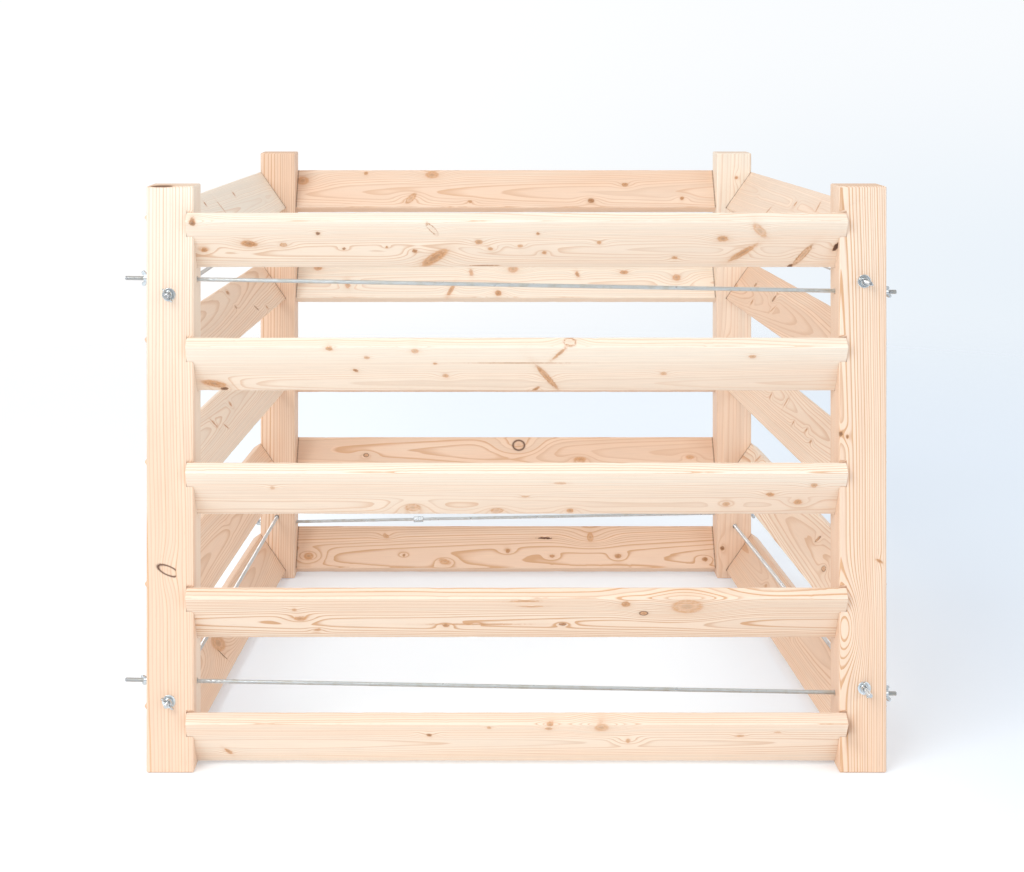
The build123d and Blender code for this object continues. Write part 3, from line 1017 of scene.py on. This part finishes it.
class BIN_OT_slats(bpy.types.Operator):
    """Builds the tilted slats of all four sides"""

    bl_idname = "compost_bin.slats"
    bl_label = "Slats"

    def execute(self, context):
        for side in SIDES:
            for number in range(1, SLATS_PER_SIDE + 1):
                node = f"{side}_slat_{number}"
                slope, along = slat_slope(node)
                place, size = measured(node, (along, slope, along.cross(slope)))
                mesh = board_mesh(f"{node}_board", size, context.scene.bin_timber)
                timber = SLAT_TIMBER.get(node) or chance_timber(node, size)
                housing = NO_HOUSING if side == "front" else size.x / MM / 2 - HOUSING_DEPTH
                label = f"{side.capitalize()} Slat {number} Larch"
                material = larch_material(label, timber, context.scene.bin_timber, housing)
                place_piece(f"{node}_board", mesh, place, material, node, "slat_wood", node)
        return {"FINISHED"}


class BIN_OT_rods(bpy.types.Operator):
    """Builds the threaded rods of both levels"""

    bl_idname = "compost_bin.rods"
    bl_label = "Threaded rods"

    def execute(self, context):
        for level in LEVELS:
            corners = node_points(f"{level}_rods")
            for side in SIDES:
                self.add_rod(side, level, corners, context.scene.bin_hardware)
        return {"FINISHED"}

    def add_rod(self, side, level, corners, settings):
        """Builds one rod, in two lengths where the coupling joins them."""
        high, axes, way = rod_line(side, level)
        place = frame_at(high, axes)
        # Painted shade: the side rods, and every rod past its wing nuts, take the darker zinc
        painted_shade_zinc = settings.painted_shade_rod_zinc
        tone = painted_shade_zinc if side in ("left", "right") else settings.rod_zinc
        label = f"{side.capitalize()} {level.capitalize()} Rod Zinc"
        zinc = zinc_material(label, tone, 0.32, 14, painted_shade_zinc, way / MM)

        near_axis, near_joint = 4 * MM, 5 * MM
        own = points_in(place, corners)
        own = own[off_axis(own) < near_axis]
        radius, heights = off_axis(own).max(), own[:, 2]
        spans = {"rod": (heights.min(), heights.max())}
        meeting = (sum(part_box("coupling_nut"), Vector()) / 2 - high).dot(axes[2])
        meets = np.abs(heights - meeting) < near_joint
        if meets.any():
            first = heights[meets & (heights < meeting)].max()
            second = heights[meets & (heights > meeting)].min()
            spans = {"long_rod": (spans["rod"][0], first), "short_rod": (second, spans["rod"][1])}
        for kind, (start, stop) in spans.items():
            name = f"{side}_{level}_{kind}"
            mesh = threaded_mesh(name, start + END_TRIM, stop - END_TRIM, radius, settings)
            place_piece(name, mesh, place, zinc, "frame", "zinc_steel", f"{level}_rods")


class BIN_OT_coupling(bpy.types.Operator):
    """Builds the long hexagon nut that joins two lengths of rod"""

    bl_idname = "compost_bin.coupling"
    bl_label = "Coupling nut"

    def execute(self, context):
        node = "coupling_nut"
        _, axes, _ = rod_line("back", "lower")
        place, _ = measured(node, axes)
        mesh = copied_mesh(node, place)
        finish_mesh(mesh, sharp_degrees=25)
        zinc = zinc_material("Coupling Zinc", context.scene.bin_hardware.nut_zinc, 0.28, 8)
        place_piece("rod_coupling", mesh, place, zinc, "frame", "zinc_steel", node)
        return {"FINISHED"}


class BIN_OT_washers(bpy.types.Operator):
    """Builds the round washers under the wing nuts"""

    bl_idname = "compost_bin.washers"
    bl_label = "Washers"

    def execute(self, context):
        settings = context.scene.bin_hardware
        zinc = zinc_material("Washer Zinc", settings.washer_zinc, 0.30, 5)
        mesh = None
        for hinge in nut_hinges():
            node = hinge["parent"]
            outward = square_to(Vector(hinge["axis"]))
            place, size = measured(node, (UP.cross(outward), UP, outward))
            if mesh is None:
                mesh = turned_mesh("washer", self.outline(node, place, size), settings.round_steps)
            place_piece(f"{node}_disc", mesh, place, zinc, node, "zinc_steel", node)
        return {"FINISHED"}

    def outline(self, node, place, size):
        """Punched section: rolled over at one edge, with a small burr left at the other."""
        hole = off_axis(points_in(place, node_points(node))).min()
        rim, half = size.x / 2, size.z / 2
        roll, burr, roll_steps = 0.45 * MM, 0.12 * MM, 4
        outline = [(hole + burr, half), (hole, half - burr), (hole, burr - half), (hole + burr, -half)]
        outline += [(rim - burr, -half), (rim, burr - half)]
        for step in range(roll_steps + 1):
            angle = math.pi / 2 * step / roll_steps
            outline.append((rim - roll + roll * math.cos(angle), half - roll + roll * math.sin(angle)))
        return outline[::-1]


class BIN_OT_wing_nuts(bpy.types.Operator):
    """Builds the cast wing nuts, each turned as its solid is"""

    bl_idname = "compost_bin.wing_nuts"
    bl_label = "Wing nuts"

    def execute(self, context):
        settings = context.scene.bin_hardware
        zinc = zinc_material("Wing Nut Zinc", settings.nut_zinc, 0.20, 4)
        mesh = None
        for hinge in nut_hinges():
            node = hinge["child"]
            place = self.seat(node, hinge)
            if mesh is None:
                mesh = modified_mesh(
                    "wing_nut", copied_mesh(node, place),
                    ("REMESH", {"mode": "VOXEL", "voxel_size": settings.cast_grain}),
                    ("SMOOTH", {"factor": 0.5, "iterations": 5}),
                )
                mesh.shade_smooth()
            place_piece(f"{node}_casting", mesh, place, zinc, node, "zinc_steel", node)
        return {"FINISHED"}

    def seat(self, node, hinge):
        """Frame of a wing nut: z out along the rod, x along its wings."""
        origin, axis = Vector(hinge["pos_m"]), Vector(hinge["axis"]).normalized()
        flat = [Vector(p) - origin for p in node_points(node)]
        flat = [p - axis * p.dot(axis) for p in flat]
        wings = max(flat, key=lambda p: p.length).normalized()
        return frame_at(origin, (wings, axis.cross(wings), axis))


# Where the soft lights hang, and how wide they are, in metres
KEY_PLACE = Vector((-1.9, -3.2, 2.6))
FILL_PLACE = Vector((2.6, -3.0, 1.8))
LIGHT_SIZE = 2.4


class BIN_OT_studio(bpy.types.Operator):
    """Sets up the pale floor, the soft lights and the camera"""

    bl_idname = "compost_bin.studio"
    bl_label = "Studio"

    def execute(self, context):
        settings = context.scene.bin_studio
        self.add_floor(settings)
        self.add_walls(context.scene, settings)
        self.add_light("key_light", KEY_PLACE, settings.key_power)
        self.add_light("fill_light", FILL_PLACE, settings.fill_power)
        self.add_camera(context.scene, settings)
        context.scene.view_settings.view_transform = "Standard"
        return {"FINISHED"}

    def add_floor(self, settings):
        """A round floor, just under the posts, that fades into the walls."""
        shape = bmesh.new()
        bmesh.ops.create_circle(shape, cap_ends=True, segments=96, radius=settings.floor_reach)
        mesh = mesh_of("floor", shape)
        mesh.materials.append(self.floor_material(settings))
        floor = bpy.data.objects.new("floor", mesh)
        floor.location.z = -0.3 * MM
        bpy.context.scene.collection.objects.link(floor)

    def floor_material(self, settings):
        """A pale floor whose painted glow stands in for light from below, with painted shade on the right,
        behind, and at the foot of the bin's slats.
        """
        material, w, surface, coordinates = new_material("Pale Floor")
        place = coordinates["Object"]
        across, back, _ = w.parts(place)
        # Painted shade: on the right and behind, standing in for the bin's cast shadow, the glow gives way to
        # the cooler one
        behind = w.times(w.smooth(back, 0.2, 1.4), w.smooth(across, -1.2, 0.3))
        cool = w.math("MAXIMUM", w.smooth(across, 0.2, 0.9), w.times(behind, 0.6))
        # Painted shade at the foot of the bin's sides and back, inside its footprint
        half_width, half_depth = 0.47, 0.6
        from_side = w.math("DIVIDE", w.math("ABSOLUTE", across), half_width)
        to_foot = w.math("MAXIMUM", from_side, w.math("DIVIDE", back, half_depth))
        inside = w.times(w.fall(to_foot, 1.0, 1.15), w.smooth(back, -0.6, -0.4))
        cool = w.math("MAXIMUM", cool, w.times(w.smooth(to_foot, 0.45, 0.95), inside, 0.5))
        # Painted glow: the floor's emission, with the painted shade of the masks above
        glow = w.mix(cool, (*settings.painted_floor_glow, 1.0), (*settings.painted_shade_glow, 1.0))
        from_middle = w.math("DIVIDE", w.vector("LENGTH", place), settings.floor_reach)
        w.feed(surface["Base Color"], (*settings.floor, 1.0))
        w.feed(surface["Roughness"], w.line(w.noise(place), 0.1, 0.6))
        w.feed(surface["Emission Color"], glow)
        w.feed(surface["Emission Strength"], 1.0)
        w.feed(surface["Alpha"], w.fall(from_middle, 0.35, 1.0))
        return material

    def add_walls(self, scene, settings):
        """White all round, cooler to the right and below, with the dim room behind the camera."""
        scene.world = bpy.data.worlds.new("Studio White")
        scene.world.use_nodes = True
        w = Wiring(scene.world.node_tree)
        walls = scene.world.node_tree.nodes["Background"].inputs
        way = scene.world.node_tree.nodes.new("ShaderNodeTexCoord").outputs["Generated"]
        across, back, height = w.parts(way)
        below = w.line(w.smooth(height, -0.12, 0.03), -0.6, 1.0)
        cool = w.times(w.smooth(across, -0.12, 0.3), below)
        colour = w.mix(cool, (*settings.bright_wall, 1.0), (*settings.cool_wall, 1.0))
        toward_room = w.smooth(w.times(back, -1.0), 0.78, 0.90)
        w.feed(walls["Color"], w.mix(toward_room, colour, (*settings.room, 1.0)))
        seen = scene.world.node_tree.nodes.new("ShaderNodeLightPath").outputs["Is Camera Ray"]
        share = w.line(seen, 1 - settings.wall_light, settings.wall_light)
        w.feed(walls["Strength"], w.times(share, settings.wall_strength))

    def add_light(self, name, place, power):
        """A soft light that looks at the middle of the bin."""
        light = bpy.data.lights.new(name, "AREA")
        light.energy = power
        light.size = LIGHT_SIZE
        lamp = bpy.data.objects.new(name, light)
        to_bin = sum(CAD_BOX, Vector()) / 2 - place
        lamp.matrix_world = Matrix.Translation(place) @ to_bin.to_track_quat("-Z", "Y").to_matrix().to_4x4()
        bpy.context.scene.collection.objects.link(lamp)

    def add_camera(self, scene, settings):
        """A level camera in front of the bin, at the photograph's viewing angle."""
        data = bpy.data.cameras.new("camera")
        data.sensor_width = 36
        data.lens = settings.lens
        data.shift_x = settings.shift_x
        data.shift_y = settings.shift_y
        camera = bpy.data.objects.new("camera", data)
        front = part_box("front_left_post")[0].y
        camera.location = (settings.offset, front - settings.distance, settings.height)
        camera.rotation_euler = (math.pi / 2, 0, 0)
        scene.collection.objects.link(camera)
        scene.camera = camera


class BIN_PT_panel(bpy.types.Panel):
    """Lists the steps that build the bin"""

    bl_label = "Compost Bin"
    bl_space_type = "VIEW_3D"
    bl_region_type = "UI"
    bl_category = "Compost Bin"

    def draw(self, context):
        for step in STEPS:
            self.layout.operator(step.bl_idname)
        for group in SETTINGS:
            settings = getattr(context.scene, group)
            box = self.layout.box()
            for name in settings.__annotations__:
                box.prop(settings, name)


SETTINGS = {"bin_timber": TimberSettings, "bin_hardware": HardwareSettings, "bin_studio": StudioSettings}
STEPS = (
    BIN_OT_posts, BIN_OT_slats, BIN_OT_rods, BIN_OT_coupling, BIN_OT_washers, BIN_OT_wing_nuts, BIN_OT_studio,
)
CLASSES = (*SETTINGS.values(), *STEPS, BIN_PT_panel)


def register():
    for cls in CLASSES:
        bpy.utils.register_class(cls)
    for name, cls in SETTINGS.items():
        setattr(bpy.types.Scene, name, PointerProperty(type=cls))


def unregister():
    for name in SETTINGS:
        delattr(bpy.types.Scene, name)
    for cls in reversed(CLASSES):
        bpy.utils.unregister_class(cls)


def main():
    """Builds every piece and the studio."""
    register()
    bpy.ops.compost_bin.posts()
    bpy.ops.compost_bin.slats()
    bpy.ops.compost_bin.rods()
    bpy.ops.compost_bin.coupling()
    bpy.ops.compost_bin.washers()
    bpy.ops.compost_bin.wing_nuts()
    bpy.ops.compost_bin.studio()


if __name__ == "__main__":
    main()
